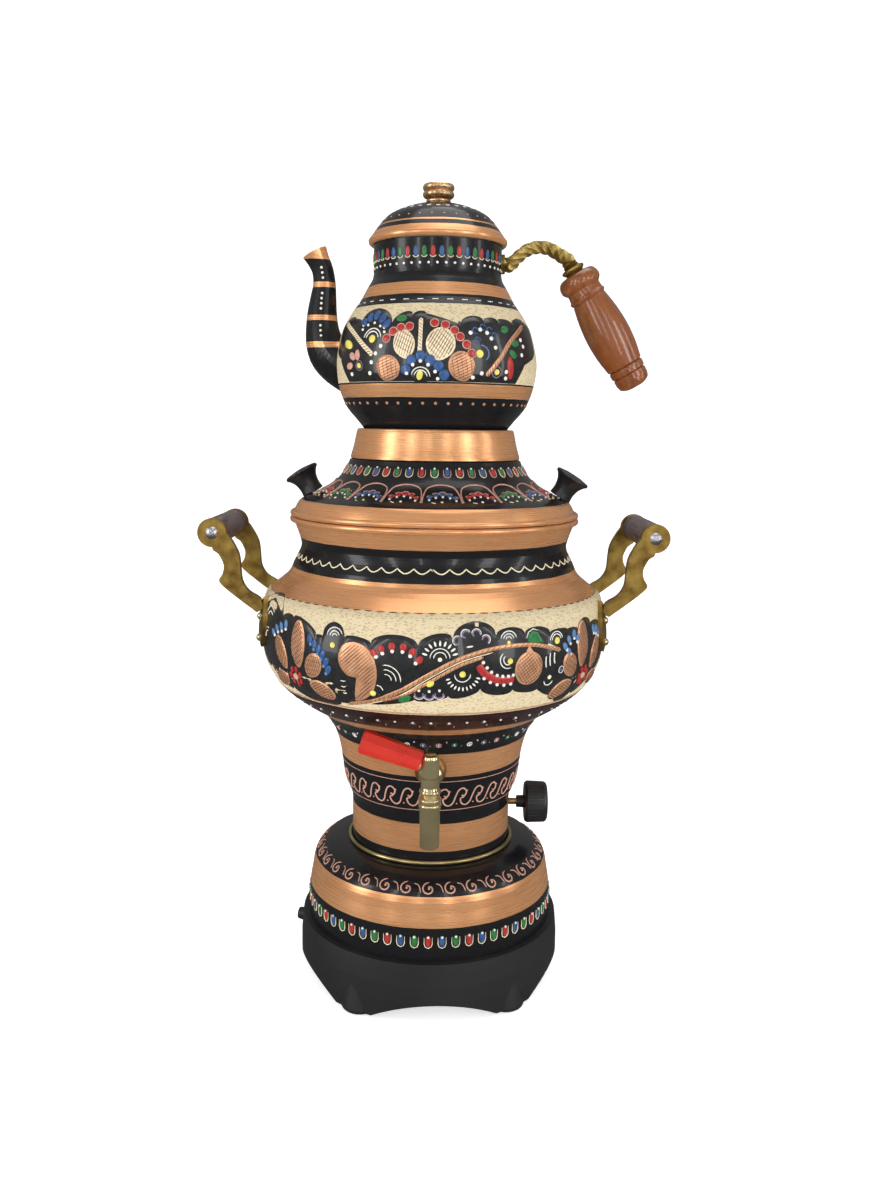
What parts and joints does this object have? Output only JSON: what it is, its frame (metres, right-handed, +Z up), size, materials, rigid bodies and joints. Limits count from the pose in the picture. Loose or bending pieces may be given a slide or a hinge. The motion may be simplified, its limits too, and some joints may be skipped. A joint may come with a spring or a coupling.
{
  "type": "electric samovar",
  "caption": "Round copper urn on a plastic base with a tap, a heater, a thermostat knob and roller handles; a lidded teapot stands in the urn's lid.",
  "frame": {"origin": "on the ground under the centre of the base", "axes": "+Z up along the urn's axis, -Y towards the tap at the front, +X towards the thermostat knob and the teapot's handle"},
  "size_m": [0.2812, 0.2156, 0.495],
  "materials": {
    "black_bakelite": "moulded, low sheen",
    "black_knob": "moulded, soft gloss",
    "pale_plastic": "moulded",
    "red_plastic": "glossy, faceted",
    "painted_copper": "spun copper with black, cream and coloured enamel and engraving",
    "brushed_copper": "brushed copper",
    "bare_copper": "drawn copper",
    "brass": "polished",
    "cast_brass": "turned, a little dull",
    "aged_brass": "cast, aged",
    "bronze": "turned",
    "tinned_metal": "tinned",
    "zinc_steel": "zinc plated",
    "steel_sheath": "drawn",
    "seal_rubber": "moulded",
    "lead_sleeving": "smooth",
    "heat_sleeving": "woven glass sleeve",
    "dark_wood": "turned, dark varnish",
    "turned_wood": "turned, varnished"
  },
  "bodies": {
    "samovar": {"plastic_base": "black_bakelite", "base_plate": "zinc_steel", "base_screws": "zinc_steel", "cord_gland": "black_bakelite", "terminal_block": "pale_plastic", "supply_leads": "lead_sleeving", "heater_leads": "heat_sleeving", "base_shell": "painted_copper", "waist_bead": "brass", "waist_shell": "painted_copper", "body_shell": "painted_copper", "tank_floor": "tinned_metal", "heating_element": "steel_sheath", "heater_seals": "seal_rubber", "heater_nuts": "brass", "thermostat": "pale_plastic", "thermostat_bulb": "bare_copper", "capillary_tube": "bare_copper", "tie_rod": "zinc_steel", "tie_nut": "zinc_steel", "tap_body": "cast_brass", "tap_escutcheon": "bronze", "tap_seal": "seal_rubber", "tap_nut": "cast_brass", "tap_stop_pin": "zinc_steel", "left_front_arm": "aged_brass", "left_back_arm": "aged_brass", "right_front_arm": "aged_brass", "right_back_arm": "aged_brass", "arm_rivets": "brass", "roller_bolts": "zinc_steel", "roller_nuts": "zinc_steel"},
    "tap_key": {"tap_plug": "cast_brass", "lever_rod": "zinc_steel", "lever_sleeve": "red_plastic"},
    "thermostat_knob": {"thermostat_shaft": "brass", "thermostat_dial": "black_knob"},
    "left_grip": {"left_roller": "dark_wood"},
    "right_grip": {"right_roller": "dark_wood"},
    "lid": {"lid_shell": "painted_copper", "lid_flange": "tinned_metal", "lid_collar": "brushed_copper", "teapot_seat": "tinned_metal", "left_lid_knob": "black_knob", "right_lid_knob": "black_knob", "lid_knob_screws": "zinc_steel"},
    "teapot": {"teapot_body": "painted_copper", "teapot_spout": "painted_copper", "handle_pad": "aged_brass", "handle_bracket": "aged_brass", "pad_rivets": "brass", "grip_rod": "zinc_steel", "grip_ferrule": "aged_brass", "teapot_grip": "turned_wood"},
    "teapot_lid": {"pot_lid": "painted_copper", "pot_lid_flange": "tinned_metal", "pot_lid_knob": "brass", "pot_lid_screw": "zinc_steel"}
  },
  "joints": [
    {"name": "lid_lift", "type": "slide", "parent": "samovar", "child": "lid", "axis": [0, 0, 1], "range_m": [0, 0.12]},
    {"name": "teapot_lift", "type": "slide", "parent": "lid", "child": "teapot", "axis": [0, 0, 1], "range_m": [0, 0.1]},
    {"name": "teapot_lid_lift", "type": "slide", "parent": "teapot", "child": "teapot_lid", "axis": [0, 0, 1], "range_m": [0, 0.06]},
    {"name": "tap_turn", "type": "hinge", "parent": "samovar", "child": "tap_key", "pos_m": [0, -0.092, 0.155], "axis": [0, 0, 1], "range_deg": [0, 90]},
    {"name": "thermostat_turn", "type": "hinge", "parent": "samovar", "child": "thermostat_knob", "pos_m": [0.05, 0, 0.11], "axis": [1, 0, 0], "range_deg": [0, 270]},
    {"name": "left_grip_spin", "type": "hinge", "parent": "samovar", "child": "left_grip", "pos_m": [-0.132, 0, 0.288], "axis": [0, 1, 0], "continuous": true},
    {"name": "right_grip_spin", "type": "hinge", "parent": "samovar", "child": "right_grip", "pos_m": [0.132, 0, 0.288], "axis": [0, 1, 0], "continuous": true}
  ]
}
